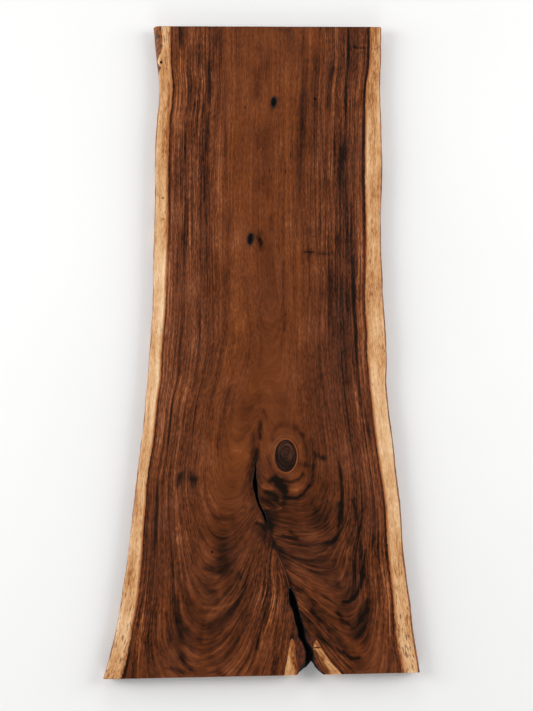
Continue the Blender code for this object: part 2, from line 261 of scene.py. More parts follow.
# Stains and patches, as (half width in mm, darkness, x and y of each point of the stroke). Below 0 they
# are light.
STAINS = (
    (14, 0.22, 258, 70, 257, 95), (10, 0.2, 266, 60, 266, 82), (30, 0.2, 264, 132, 266, 165, 262, 182),
    (14, 0.2, 306, 231, 320, 233), (26, 0.16, 303, 95, 299, 235), (14, -0.12, 234, 110, 236, 330),
    (14, -0.14, 290, 60, 291, 225), (9, -0.22, 298, 238, 300, 345), (12, -0.14, 216, 115, 217, 250),
    (8, 0.18, 228, 250, 226, 340), (9, 0.2, 283, 262, 284, 330), (10, 0.16, 213, 345, 211, 440),
    (10, 0.16, 226, 390, 222, 440), (14, -0.12, 238, 345, 236, 430), (12, -0.1, 312, 118, 311, 225),
    (9, 0.3, 304, 252, 316, 252.5, 334, 254), (9, 0.45, 280, 30, 290, 31),
    (5, 0.95, 259.5, 238, 261.5, 243), (10, 0.4, 259, 234, 261, 249), (4, 0.7, 257, 237.5, 257.5, 238.5),
    (9, 0.35, 272.5, 107, 272, 110), (8, 0.3, 270, 219, 271, 230), (9, 0.8, 181, 474, 179, 484),
    (13, 0.55, 191, 473, 193, 484), (14, 0.25, 180, 479, 200, 479), (8, 0.3, 234, 320, 234, 342),
    (6, 0.5, 169.5, 82, 167.5, 135, 166.5, 235),
    # The closed bark line above the open crack, and round the sound knot
    (9, 0.35, 264, 412, 266, 417), (8, 0.8, 260, 424, 260, 438), (8, 0.58, 257, 450, 256, 460),
    (13, 0.34, 253, 436, 254, 464), (18, 0.3, 283, 424, 294, 427), (9, 0.3, 272, 440, 274, 430, 281, 424),
    (9, 0.34, 297, 429, 302, 436), (7, 0.36, 302, 434, 305.5, 444, 307, 455, 307, 466),
    (7, -0.35, 299.5, 446, 301, 458), (10, 0.35, 311, 440, 313, 465, 311, 485),
    (12, -0.2, 290, 475, 298, 475), (10, -0.35, 292, 487.5, 300, 486.5),
    (11, 0.35, 268, 458, 270, 470, 276, 475), (10, 0.8, 270, 481, 275, 478.5, 277, 483),
    (13, 0.8, 280, 485, 284, 488, 285, 492), (19, 0.5, 276, 481, 280, 487),
    (9, 0.65, 266, 491, 272, 493, 277, 497), (6, 0.8, 284, 497.5, 297, 498, 304, 493, 309, 486),
    (5.5, 0.65, 278, 479.5, 291, 482, 299, 479, 303, 474), (9, 0.35, 262, 499, 284, 503),
    (16, 0.24, 266, 495, 284, 501), (5, -0.75, 262.5, 486, 266, 488.5, 272, 489),
    (8, -0.55, 290, 491.5, 297, 491), (5, -0.65, 280, 501, 281, 501),
    (4, -0.6, 263, 508, 271, 508, 276, 510, 281, 508), (7, 0.55, 322, 457.5, 323.5, 458),
    (11, 0.35, 316, 455, 325, 459), (9, 0.3, 299, 464, 312, 466),
    # The brown parts of the two wedges, and the dark gap across the right one
    (16, 0.85, 292.5, 638, 295, 655, 297, 673), (4, 0.5, 294, 663, 297, 668),
    (12, 0.45, 315, 641, 319, 645), (14, 0.5, 316, 651, 322, 657),
    (9, 0.85, 314.5, 653, 318, 662, 322, 668, 325.5, 673), (16, 0.22, 325, 661, 334, 671),
    (6, 0.35, 322, 660, 328, 671),
    # The bark seam between the limbs
    (8, 0.85, 264, 514, 267, 520), (13, 0.95, 268, 523, 271, 527),
    (6, 0.65, 257, 523, 262, 525, 265, 530), (5, -0.45, 259, 520.5, 263, 521.5),
    (26, 0.35, 255, 528, 268, 540), (9, 0.5, 272, 533, 274, 543), (4, -0.6, 273.5, 534, 274.5, 538),
    (13, 0.6, 274, 547, 279, 549), (17, 0.5, 281, 554, 285, 566), (9, 0.55, 287, 575, 290, 588),
    (12, 0.35, 296, 590, 302, 590), (16, 0.25, 264, 530, 266, 540),
    # The left lobe
    (32, 0.26, 226, 550, 224, 559), (20, 0.22, 211, 567, 224, 570, 238, 575),
    (8, 0.3, 239, 574, 241, 578), (18, 0.42, 207, 589, 214, 592), (13, 0.35, 206, 567, 212, 569),
    (14, 0.25, 214, 516, 232, 518), (18, 0.45, 182, 618, 188, 631, 197, 639),
    (20, 0.26, 214, 638, 226, 620, 238, 604, 246, 588), (36, 0.2, 230, 568, 234, 590),
    (12, 0.3, 189, 628, 192, 650), (28, 0.14, 222, 546, 221, 560),
    (8, -0.22, 204, 642, 206, 624, 212, 608), (11, 0.4, 176, 600, 178, 622),
    (7, 0.45, 166, 612, 171, 640), (14, 0.45, 182, 655, 188, 668),
    (6, 0.55, 166, 668, 174, 669, 184, 673), (7, 0.55, 180, 658, 184, 663), (5, 0.45, 190, 668, 196, 674),
    (22, 0.22, 228, 640, 214, 656), (5, 0.34, 271.5, 553, 271.5, 580, 270, 604, 267, 624, 264, 638),
    (6, 0.3, 267, 602, 261, 625, 256, 648), (5, 0.34, 283, 606, 277, 625, 272, 674),
    (5, -0.12, 286, 590, 276, 606, 270, 630, 264, 655, 260, 674), (5, -0.3, 288, 613, 283, 632, 279, 652),
    (5, -0.36, 204, 607, 218, 609, 232, 603, 243, 588), (9, 0.45, 218, 672, 224, 676),
    # The right lobe
    (10, 0.65, 339.5, 505, 340, 522, 338, 534, 333, 544),
    (9, 0.55, 353, 500, 357, 515, 359, 535, 362, 556), (14, 0.25, 350, 520, 352, 548),
    (6, 0.9, 363, 576, 358, 592, 354, 598), (6, 0.8, 354, 598, 349, 602, 343, 602),
    (18, 0.32, 357, 560, 354, 596), (9, 0.55, 337, 612, 343, 622, 352, 625, 361, 620),
    (9, 0.5, 361, 620, 366, 608, 367, 600), (22, 0.3, 368, 606, 367, 622, 358, 634),
    (11, 0.45, 312, 612, 320, 622, 332, 632, 341, 641), (8, 0.55, 318, 636, 330, 645, 342, 652),
    (7, 0.8, 344, 652, 351, 658, 359, 658), (14, 0.4, 337, 584, 340, 588), (20, 0.28, 312, 610, 318, 618),
    (6, 0.45, 283, 535, 300, 543, 315, 545, 330, 542), (8, 0.5, 290, 532, 297, 538),
    (18, 0.36, 280, 540, 302, 545, 322, 546, 334, 540), (8, 0.35, 280, 556, 300, 561, 335, 560),
    (16, 0.25, 285, 548, 320, 552), (26, 0.3, 318, 518, 325, 528), (11, 0.3, 312, 500, 316, 512),
    (10, 0.35, 330, 640, 345, 646), (13, -0.3, 352, 604, 358, 600), (16, -0.35, 345, 638, 357, 648),
    (13, -0.35, 346, 553, 350, 548),
)

# Small marks, as (x, y, half width in mm, half height in mm, darkness)
SPOTS = (
    (290.5, 155, 2.2, 12, 0.8), (269.5, 171, 2.5, 9, 0.65), (285.5, 171.5, 2.5, 10, 0.7),
    (245, 107.5, 4.5, 5.5, 0.65), (315, 99, 8, 6.5, 0.65), (212, 552, 5, 5, 0.85), (264, 103, 3, 5, 0.3),
    (270, 125, 6, 5, 0.25), (272, 50, 5, 8, 0.22), (163, 198, 6, 5, 0.7), (163, 219, 5, 3.5, 0.55),
    (261, 230, 3, 3, 0.45), (141, 535, 2.5, 14, 0.55), (309.5, 252, 24, 4, 0.7),
    (323, 254, 26, 2.5, 0.35), (314, 236.5, 20, 2.5, 0.4), (355, 47, 9, 7, 0.6), (359.5, 48, 9, 3.5, 0.6),
    (361.5, 45, 6, 6, -0.5), (364, 48.5, 4, 5, 0.55), (365, 45.5, 4, 4, -0.55), (362, 50, 5, 4, -0.55),
    (357, 51, 4, 5, -0.4), (317, 647.6, 17, 3, 0.95),
)

# Broad lighter and darker areas, as (x, y, half width, half height, lightness)
AREAS = (
    (262, 200, 42, 190, 0.06), (262, 60, 40, 60, 0.02), (232, 470, 26, 50, 0.04),
    (212, 595, 60, 70, -0.13), (338, 585, 42, 80, -0.18), (318, 582, 22, 16, 0.08),
    (270, 630, 26, 40, -0.04), (165, 650, 26, 26, -0.06), (374, 620, 12, 60, 0.08),
    (232, 665, 26, 16, 0.06), (290, 515, 52, 38, -0.12), (330, 395, 20, 75, -0.15),
    (345, 300, 20, 110, -0.05), (326, 160, 24, 110, -0.05), (338, 45, 20, 30, -0.12),
    (317, 40, 11, 14, 0.22), (291, 40, 8, 14, -0.16), (268, 150, 14, 28, -0.07),
    (268, 292, 13, 36, -0.14), (245, 100, 12, 20, -0.06), (254, 465, 10, 30, -0.2),
    (232, 548, 16, 22, -0.1), (272, 575, 14, 16, -0.1), (325, 556, 24, 20, -0.06),
    (364, 636, 12, 16, -0.16), (212, 40, 10, 20, -0.07), (162, 320, 7, 90, 0.16), (142, 610, 8, 50, 0.08),
    (165, 135, 4, 40, -0.1), (352, 55, 16, 30, -0.1), (375, 70, 9, 60, -0.12), (375, 270, 9, 90, 0.06),
    (398, 570, 10, 70, -0.06), (115, 660, 12, 40, 0.1), (180, 570, 18, 22, -0.08),
    (150, 512, 9, 22, -0.1), (330, 510, 12, 14, -0.11), (166, 288, 7, 34, 0.14), (135, 635, 8, 22, 0.19),
    (345, 150, 9, 24, -0.2), (346, 62, 8, 20, -0.08), (314, 120, 10, 45, -0.06), (262, 494, 12, 22, -0.1),
    (303, 628, 8, 14, -0.26), (352, 612, 9, 13, -0.15), (368, 642, 8, 13, -0.08),
    (212, 295, 10, 36, 0.06), (240, 314, 9, 26, 0.05), (258, 320, 12, 60, -0.05),
    (232, 455, 12, 16, 0.05), (388, 578, 8, 50, 0.08), (396, 575, 4, 26, -0.14), (393, 486, 4, 20, -0.12),
    (160, 208, 5, 16, -0.12), (180, 125, 8, 17, 0.2), (180, 214, 8, 17, 0.14), (195, 34, 8, 14, 0.17),
    (361, 33, 8, 13, -0.12), (180, 32, 7, 13, -0.2), (228, 222, 7, 15, -0.15), (271, 512, 9, 14, -0.34),
    (255, 480, 7, 15, -0.19), (371, 522, 13, 26, -0.16), (375, 45, 7, 22, -0.14), (262, 600, 9, 26, 0.15),
    (366, 432, 7, 14, -0.18), (184, 396, 12, 16, 0.24), (345, 272, 8, 15, 0.18), (315, 270, 8, 13, 0.16),
    (285, 600, 8, 13, -0.18), (195, 630, 8, 13, 0.16), (180, 636, 7, 13, -0.32), (167, 612, 6, 26, 0.16),
    (247, 646, 7, 12, 0.12), (240, 326, 8, 16, 0.2), (246, 456, 8, 14, 0.16), (210, 546, 8, 11, 0.12),
    (389, 600, 4, 50, 0.14), (226, 578, 14, 12, -0.2), (172, 92, 4, 50, 0.08), (128, 640, 10, 18, 0.15),
    (228, 400, 9, 16, -0.14), (285, 492, 9, 26, -0.12), (196, 520, 9, 16, 0.1),
)

# Areas where the grain stands out more, or below 0 less, in the same form
CONTRASTS = (
    (162, 535, 18, 55, -0.5), (243, 548, 20, 24, -0.6), (258, 520, 12, 22, -0.55),
    (340, 468, 14, 30, -0.4), (330, 350, 20, 34, -0.35), (185, 300, 12, 45, -0.35),
    (335, 400, 12, 25, -0.35), (300, 520, 34, 30, -0.35), (205, 95, 14, 50, 0.4), (292, 140, 14, 90, 0.7),
    (345, 110, 10, 30, 0.4), (195, 640, 24, 18, -0.4), (375, 520, 10, 25, -0.4),
    (312, 635, 26, 18, -0.45), (268, 625, 22, 50, 0.45), (195, 180, 16, 70, 0.3), (320, 200, 20, 60, 0.3),
    (142, 635, 16, 30, 0.3), (227, 557, 13, 12, -0.35), (374, 50, 8, 24, 0.6), (372, 132, 6, 32, 0.45),
    (400, 570, 12, 90, 0.45), (408, 655, 9, 20, 0.9), (163, 210, 5, 18, 0.6), (138, 560, 7, 44, 0.45),
    (166, 34, 6, 12, 1.1), (370, 300, 5, 30, 0.5),
)

WIDE_STREAK = 4.5  # from this half width the vertices carry a streak, and below it the material draws it
STREAK_PLACE = ("From X", "From Y", "Step X", "Step Y", "From Ring", "Ring Step", "Half Width", "Reach")
# How far a streak reaches from its middle, in its own length. The gains keep it whole up to near its rim.
END_REACH = 0.62
END_GAIN = 2.2
SIDE_GAIN = 2.0
STREAK_SPREAD = 0.0017  # how far beside its line a streak is gone, in metres for 1 mm of half width
PROBE = 0.002  # the step over which the rings beside a streak are counted
LEAST_RINGS_PER_METRE = 0.9
# How deep below the face the marks begin to fade, and where they are gone
MARKS_FADE_FROM = 0.004
MARKS_FADE_TO = 0.02

# The lights, as (name, place, width, depth, power). They face the slab's middle.
SOFTBOXES = (
    ("left_softbox", (-4.6, 0.6, 2.6), 2.6, 4.2, 215.0), ("right_softbox", (4.6, 0.9, 2.6), 2.6, 4.2, 200.0),
    ("foot_softbox", (0.0, -5.2, 2.9), 4.2, 2.4, 90.0), ("head_softbox", (0.0, 5.2, 2.9), 4.2, 2.4, 80.0),
)


def camera_place():
    return AIM - CAMERA_DISTANCE * Vector((0.0, math.sin(LEAN), -math.cos(LEAN)))


def on_face(px, py):
    """Where a pixel of the photograph lies on the face, as x and y."""
    up = PHOTO_HEIGHT / 2.0 - py
    ray = Vector((
        px - PHOTO_WIDTH / 2.0,
        up * math.cos(LEAN) + FOCAL_IN_PIXELS * math.sin(LEAN),
        up * math.sin(LEAN) - FOCAL_IN_PIXELS * math.cos(LEAN),
    ))
    eye = camera_place()
    spot = eye + ray * ((THICKNESS - eye.z) / ray.z)
    return spot.x, spot.y


def smooth_step(value, low, high):
    """0 below low, 1 above high, and an even curve between them."""
    share = np.clip((value - low) / (high - low), 0.0, 1.0)
    return share * share * (3.0 - 2.0 * share)


def along(stations, y):
    """The values at each y on a smooth curve through stations, whose first number is y and increases."""
    table = np.array(stations)
    at, values = table[:, 0], table[:, 1:]
    slopes = np.gradient(values, at, axis=0)
    slopes[1:-1] = (values[2:] - values[:-2]) / (at[2:] - at[:-2])[:, None]
    y = np.asarray(y, dtype=float)
    i = np.clip(np.searchsorted(at, y, side="right") - 1, 0, len(at) - 2)
    span = (at[i + 1] - at[i])[..., None]
    t = np.clip((y[..., None] - at[i][..., None]) / span, 0.0, 1.0)
    result = (
        (2 * t**3 - 3 * t**2 + 1) * values[i]
        + (t**3 - 2 * t**2 + t) * span * slopes[i]
        + (3 * t**2 - 2 * t**3) * values[i + 1]
        + (t**3 - t**2) * span * slopes[i + 1]
    )
    return [result[..., k] for k in range(values.shape[1])]


def add_to_scene(name, data):
    made = bpy.data.objects.new(name, data)
    bpy.context.scene.collection.objects.link(made)
    return made


def add_mesh_object(name, points, faces):
    mesh = bpy.data.meshes.new(name)
    mesh.from_pydata(points, [], faces)
    mesh.update()
    return add_to_scene(name, mesh)


def edge_inset(y, height, side):
    """How far a live edge lies inside its widest outline, at a share of the thickness."""
    if height >= WIDEST_AT:
        share = (height - WIDEST_AT) / (1.0 - WIDEST_AT)
        depth = DRAWN_IN_AT_FACE
        if side < 0:
            depth += BARK_SLOPE * smooth_step(y, BARK_SLOPE_FROM_Y, BARK_SLOPE_FULL_Y)
    else:
        share = (WIDEST_AT - height) / WIDEST_AT
        swell = noise.noise(Vector((2.1 * y, 3.0 * side, 0.4)))
        depth = DRAWN_IN_AT_BACK * (1.0 + 0.8 * swell)
    from_face = min(height, 1.0 - height) * THICKNESS
    lack = max(0.0, 1.0 - from_face / ARRIS)
    return depth * share**1.7 + ARRIS * (1.0 - math.sqrt(1.0 - lack * lack))


def ripple(y, height, side):
    """The lumps, hollows and fine ridges that bark leaves on a live edge. They die out at the saw cuts."""
    at = Vector((RIPPLES_PER_METRE * y, 5.0 * side, 1.6 * height))
    fade = smooth_step(HALF_LENGTH - abs(y), 0.0, 0.06)
    low = noise.noise(at) + 0.5 * noise.noise(2.3 * at)
    fine_at = Vector((FINE_RIPPLES_PER_METRE * y, 7.0 * side, 5.0 * height))
    fine = noise.noise(fine_at) + 0.6 * noise.noise(2.7 * fine_at)
    return fade * (RIPPLE * low + FINE_RIPPLE * fine)


def plank_sides(y, height):
    """The x of both live edges at a nominal y and a share of the thickness."""
    left = float(along(LEFT_EDGE, y)[0]) + edge_inset(y, height, -1) + ripple(y, height, -1)
    right = float(along(RIGHT_EDGE, y)[0]) - edge_inset(y, height, 1) - ripple(y, height, 1)
    return left, right


def foot_cut(x):
    """The y of the foot's saw cut at x."""
    return -HALF_LENGTH + FOOT_SAW_SLOPE * (x - LEFT_FOOT_CORNER_X)


def make_plank():
    """The whole plank as one mesh: finer columns on the face than on the back, and gridded saw cuts."""
    rows = np.concatenate((
        np.linspace(-HALF_LENGTH, BUSY_UP_TO_Y, BUSY_ROWS, endpoint=False),
        np.linspace(BUSY_UP_TO_Y, HALF_LENGTH, PLAIN_ROWS + 1),
    ))
    sides = np.array([[plank_sides(y, height) for height in LAYERS] for y in rows])
    points, index = [], {}

    def point(*key):
        if key not in index:
            row, column, layer = key
            left, right = sides[row, layer]
            x = left + column / COLUMNS * (right - left)
            share = (rows[row] + HALF_LENGTH) / (2.0 * HALF_LENGTH)
            head_y = HALF_LENGTH + HEAD_SAW_SLOPE * (x - LEFT_HEAD_CORNER_X)
            index[key] = len(points)
            points.append((x, foot_cut(x) + share * (head_y - foot_cut(x)), LAYERS[layer] * THICKNESS))
        return index[key]

    def quad(corner, first, second):
        """The face that two steps span from a corner, all three as (row, column, layer)."""
        beside, behind = (tuple(map(sum, zip(corner, step))) for step in (first, second))
        across = tuple(map(sum, zip(beside, second)))
        return [point(*place) for place in (corner, beside, across, behind)]

    to_row, to_column, to_layer, to_back_column = (1, 0, 0), (0, 1, 0), (0, 0, 1), (0, BACK_COLUMN, 0)
    top, last_row = len(LAYERS) - 1, len(rows) - 1
    faces = []
    for row in range(last_row):
        faces += [quad((row, column, top), to_column, to_row) for column in range(COLUMNS)]
        for column in range(0, COLUMNS, BACK_COLUMN):
            faces.append(quad((row, column, 0), to_row, to_back_column))
        for layer in range(top):
            faces.append(quad((row, 0, layer), to_layer, to_row))
            faces.append(quad((row, COLUMNS, layer), to_row, to_layer))
    for row in (0, last_row):
        cap = []
        for layer in range(1, top):
            cap += [quad((row, column, layer), to_column, to_layer) for column in range(COLUMNS)]
        for column in range(0, COLUMNS, BACK_COLUMN):
            above = [point(row, column + step, 1) for step in reversed(range(BACK_COLUMN + 1))]
            cap.append([point(row, column, 0), point(row, column + BACK_COLUMN, 0), *above])
        faces += cap if row == 0 else [face[::-1] for face in cap]
    return add_mesh_object("raintree_slab", points, faces)


def wander(*place):
    """Uneven noise round 0, mostly from -1 to 1."""
    at = Vector(place)
    return noise.noise(at) + 0.5 * noise.noise(2.9 * at)


def loft(name, rings):
    """A closed solid through rings of points that go round it the same way."""
    count = len(rings[0])
    last = (len(rings) - 1) * count
    faces = [list(range(count)), [last + k for k in reversed(range(count))]]
    for start in range(0, last, count):
        for k in range(count):
            after = (k + 1) % count
            faces.append([start + k, start + count + k, start + count + after, start + after])
    made = add_mesh_object(name, [p for ring in rings for p in ring], faces)
    shape = bmesh.new()
    shape.from_mesh(made.data)
    bmesh.ops.recalc_face_normals(shape, faces=shape.faces)
    shape.to_mesh(made.data)
    shape.free()
    return made


def ragged(y, side, z, half_width):
    """How far a wall of a crack stands off its even line. It dies out where the crack closes."""
    off = wander(55.0 * y, 9.0 * side, 60.0 * z) + 1.5 * wander(17.0 * y, 5.0 * side, 9.0 * z)
    off += 0.9 * wander(150.0 * y, 11.0 * side, 80.0 * z)
    return RAGGED * off * min(1.0, half_width / RAGGED_FROM)


def ragged_ring(station_at, floor, narrows_to=1.0):
    """Points down one wall of an opening and up the other, from a little above the face to the floor.

    station_at gives the y, the middle and the half width at a depth from 0 to 1.
    """
    ring = []
    for side, order in ((-1, range(WALL_LAYERS)), (1, reversed(range(WALL_LAYERS)))):
        for layer in order:
            depth = layer / (WALL_LAYERS - 1)
            y, middle, half_width = station_at(depth)
            z = THICKNESS + CLEAR - depth * (THICKNESS + CLEAR - floor)
            half = max(half_width, LEAST_HALF_WIDTH) * (1.0 - (1.0 - narrows_to) * depth)
            ring.append((middle + side * half + ragged(y, side, z, half_width), y, z))
    return ring


def ragged_crack(name, stations):
    """A cutter for a crack, down to the crack's floor."""
    first, last = stations[0][0], stations[-1][0]
    rings = []
    for y in np.linspace(first, last, int((last - first) / CRACK_ROW)):
        middle, half_width = (float(value) for value in along(stations, y))
        rings.append(ragged_ring(
            lambda depth: (y, middle - CRACK_LEAN * depth, half_width), CRACK_FLOOR, CRACK_NARROWS_TO
        ))
    return loft(name, rings)


def ragged_notch():
    """A cutter for the notch, from the rim on the face to the rim on the back."""
    face_rows, back_rows = (
        [(row, *rim) for row, rim in enumerate(rims)] for rims in (NOTCH_AT_FACE, NOTCH_AT_BACK)
    )
    rings = []
    for row in np.linspace(0, len(NOTCH_AT_FACE) - 1, NOTCH_ROWS):
        face_rim, back_rim = np.array(along(face_rows, row)), np.array(along(back_rows, row))
        rings.append(ragged_ring(lambda depth: face_rim + depth * (back_rim - face_rim), -CLEAR))
    return loft("notch", rings)


def add_shape(name, shape, place):
    """Turns a bmesh into an object at a place."""
    mesh = bpy.data.meshes.new(name)
    shape.to_mesh(mesh)
    shape.free()
    made = add_to_scene(name, mesh)
    made.location = place
    return made


def pit_cutter(name, x, y, half_width, half_length, depth):
    """A cutter for a dead knot's pit: a lumpy stretched ball, turned a little across the grain."""
    shape = bmesh.new()
    bmesh.ops.create_uvsphere(shape, u_segments=36, v_segments=20, radius=1.0)
    for vert in shape.verts:
        vert.co *= 1.0 + 0.1 * wander(*(2.3 * vert.co + Vector((x, y, 0.0)) * 40.0))
        vert.co = Vector((vert.co.x * half_width, vert.co.y * half_length, vert.co.z * depth))
    made = add_shape(name, shape, (x, y, THICKNESS))
    made.rotation_euler.z = KNOT_TURN
    return made


def hole_cutter():
    x, y, radius, depth = BEETLE_HOLE
    shape = bmesh.new()
    bmesh.ops.create_cone(
        shape, cap_ends=True, segments=14, radius1=0.7 * radius, radius2=radius, depth=depth
    )
    return add_shape("beetle_hole", shape, (x, y, THICKNESS - 0.3 * depth))


def cut_openings(plank):
    cutters = [ragged_crack("lower_crack", LOWER_CRACK), ragged_crack("upper_crack", UPPER_CRACK)]
    cutters += [ragged_notch(), hole_cutter()]
    cutters += [pit_cutter(name, *sizes) for name, sizes in KNOT_PITS.items()]
    for cutter in cutters:
        cut = plank.modifiers.new(cutter.name, "BOOLEAN")
        cut.operation = "DIFFERENCE"
        cut.object = cutter
    seen = plank.evaluated_get(bpy.context.evaluated_depsgraph_get())
    result = bpy.data.meshes.new_from_object(seen)
    plank.modifiers.clear()
    plank.data = result
    for cutter in cutters:
        bpy.data.objects.remove(cutter)


def soft_min(a, b, width):
    """The smaller of a and b, rounded where they differ by less than width, and the share of a in it."""
    share = np.clip(0.5 + 0.5 * (b - a) / width, 0.0, 1.0)
    return b + (a - b) * share - width * share * (1.0 - share), share


def limb_rings(x, y, depth, stations, bark_is_left):
    """The ring number of each point in one limb, and how far it lies to the right of the pith."""
    pith, on_pith, reach = along(stations, y)
    left = pith - along(HEART_LEFT, y)[0] if bark_is_left else reach
    right = reach if bark_is_left else along(HEART_RIGHT, y)[0] - pith
    offset = x - pith
    half = left + (right - left) * smooth_step(offset, -0.03, 0.03)
    girth = half / np.sqrt(1.0 - on_pith**2)
    return np.hypot(offset, on_pith * girth - depth) / girth, offset


def figure(x, y, z):
    """The ring number of each point of the wood, and its side of the pith from -1 to 1."""
    depth = THICKNESS - z
    knot_x, knot_y, half_width, half_length = SOUND_KNOT
    rho = np.hypot((x - knot_x) / half_width, (y - knot_y) / half_length)
    parted_x = knot_x + (x - knot_x) * (1.0 - 1.0 / (1.0 + (rho / KNOT_PARTS_GRAIN) ** 2))
    left, left_offset = limb_rings(parted_x, y, depth, LEFT_LIMB, True)
    right, right_offset = limb_rings(parted_x, y, depth, RIGHT_LIMB, False)
    beyond = x - along(SEAM, y)[0]
    # Towards the foot each limb's rings stay on their own side of the seam, and further up they run together
    hold = 12.0 * smooth_step(-y, 0.05, 0.6)
    fused = smooth_step(-y, -0.05, 0.25) * (1.0 - smooth_step(-y, 0.4, 0.6))
    ring, share = soft_min(
        left + hold * np.maximum(beyond, 0.0), right + hold * np.maximum(-beyond, 0.0), 0.002 + 0.06 * fused
    )
    side = share * np.tanh(left_offset / PITH_WIDTH) + (1.0 - share) * np.tanh(right_offset / PITH_WIDTH)
    # Round the sound knot the rings close into its own
    own = 0.27 + 0.15 * rho
    ring += (own - ring) * (1.0 - smooth_step(rho, 1.0, 1.5)) * 0.85
    return ring, side


def distance_to_line(x, y, points):
    """How far each point lies from a line through points."""
    nearest = np.full(x.shape, np.inf)
    for (ax, ay), (bx, by) in zip(points[:-1], points[1:]):
        dx, dy = bx - ax, by - ay
        t = np.clip(((x - ax) * dx + (y - ay) * dy) / (dx * dx + dy * dy), 0.0, 1.0)
        nearest = np.minimum(nearest, np.hypot(x - ax - t * dx, y - ay - t * dy))
    return nearest


def streaks(wide):
    """The place and the darkness of each grain streak, of the wide ones or of the thin ones.

    A place holds the streak's line, the ring numbers along it and its half width in ring numbers.
    """
    for from_px, from_py, to_px, to_py, half_width, darkness in GRAIN_STREAKS:
        if (half_width >= WIDE_STREAK) != wide:
            continue
        (ax, ay), (bx, by) = on_face(from_px, from_py), on_face(to_px, to_py)
        middle_x, middle_y = 0.5 * (ax + bx), 0.5 * (ay + by)
        xs = np.array([ax, bx, middle_x, middle_x + PROBE])
        rings, _ = figure(xs, np.array([ay, by, middle_y, middle_y]), np.full(4, THICKNESS))
        rings_per_metre = max(abs(rings[3] - rings[2]) / PROBE, LEAST_RINGS_PER_METRE)
        length = math.hypot(bx - ax, by - ay)
        yield {
            "From X": ax, "From Y": ay, "Step X": (bx - ax) / length**2, "Step Y": (by - ay) / length**2,
            "From Ring": float(rings[0]), "Ring Step": float(rings[1] - rings[0]),
            "Half Width": STREAK_SPREAD * half_width * float(rings_per_metre), "Reach": 0.5 + 0.05 / length,
        }, darkness


def wide_streaks(x, y, ring):
    """The darkness of the grain streaks that are wide enough for the mesh."""
    total = np.zeros(x.shape)
    for place, darkness in streaks(True):
        away_x, away_y = x - place["From X"], y - place["From Y"]
        t = away_x * place["Step X"] + away_y * place["Step Y"]
        aside = np.abs(away_x * place["Step Y"] - away_y * place["Step X"])
        off = np.abs(ring - place["From Ring"] - t * place["Ring Step"])
        ends = np.minimum(1.0, END_GAIN * smooth_step(np.abs(t - 0.5), END_REACH, 0.0))
        beside = np.minimum(1.0, SIDE_GAIN * smooth_step(aside, place["Reach"], 0.0))
        total += darkness * smooth_step(off, place["Half Width"], 0.0) * ends * beside
    return total


def stain(x, y, z, ring):
    """How dark stains and wide streaks make each point, and below 0 how light."""
    waves = np.array([
        wander(9.0 * px, 3.0 * py, 2.0) + 0.6 * wander(40.0 * px, 9.0 * py, 5.0) for px, py in zip(x, y)
    ])
    # Wide streaks wander a little across the rings
    total = wide_streaks(x, y, ring + 0.006 * waves)
    for half_width, darkness, *pixels in STAINS:
        away = distance_to_line(x, y, [on_face(*pixel) for pixel in zip(pixels[::2], pixels[1::2])])
        total += darkness * np.exp(-((away / (0.001 * half_width)) ** 2))
    return total * (1.0 - smooth_step(THICKNESS - z, MARKS_FADE_FROM, MARKS_FADE_TO))


def broad(areas, x, y):
    """The sum of broad areas, each of which fades out from its middle."""
    total = np.zeros(x.shape)
    for px, py, half_width, half_height, amount in areas:
        cx, cy = on_face(px, py)
        ex, ey = on_face(px + half_width, py - half_height)
        total += amount * np.exp(-(((x - cx) / (ex - cx)) ** 2) - ((y - cy) / (ey - cy)) ** 2)
    return total


def wedge_stations(wedge):
    """A wedge on the face, as (y, left edge, right edge)."""
    stations = []
    for row, left, right in wedge:
        x, y = on_face(left, row)
        stations.append((y, x, on_face(right, row)[0]))
    return stations


def inside_wedges(x, y):
    """How far each point lies inside a wedge, and below 0 how far outside."""
    depths = []
    for wedge in (LEFT_WEDGE, RIGHT_WEDGE):
        stations = wedge_stations(wedge)
        left, right = along(stations, y)
        depths.append(np.minimum(np.minimum(x - left, right - x), stations[-1][0] - y))
    return np.maximum(*depths)


def bark_grown_in(x, y):
    """1 where bark grew in between the two wedges."""
    inside = smooth_step(x - along(wedge_stations(LEFT_WEDGE), y)[1], -0.002, 0.002)
    inside *= smooth_step(along(wedge_stations(RIGHT_WEDGE), y)[0] - x, -0.002, 0.002)
    return inside * smooth_step(-y, 1.075, 1.1)


def touches_wall(mesh):
    """Whether each vertex belongs to a steep face."""
    touched = np.zeros(len(mesh.vertices), dtype=bool)
    for face in mesh.polygons:
        if abs(face.normal.z) < STEEP:
            touched[list(face.vertices)] = True
    return touched


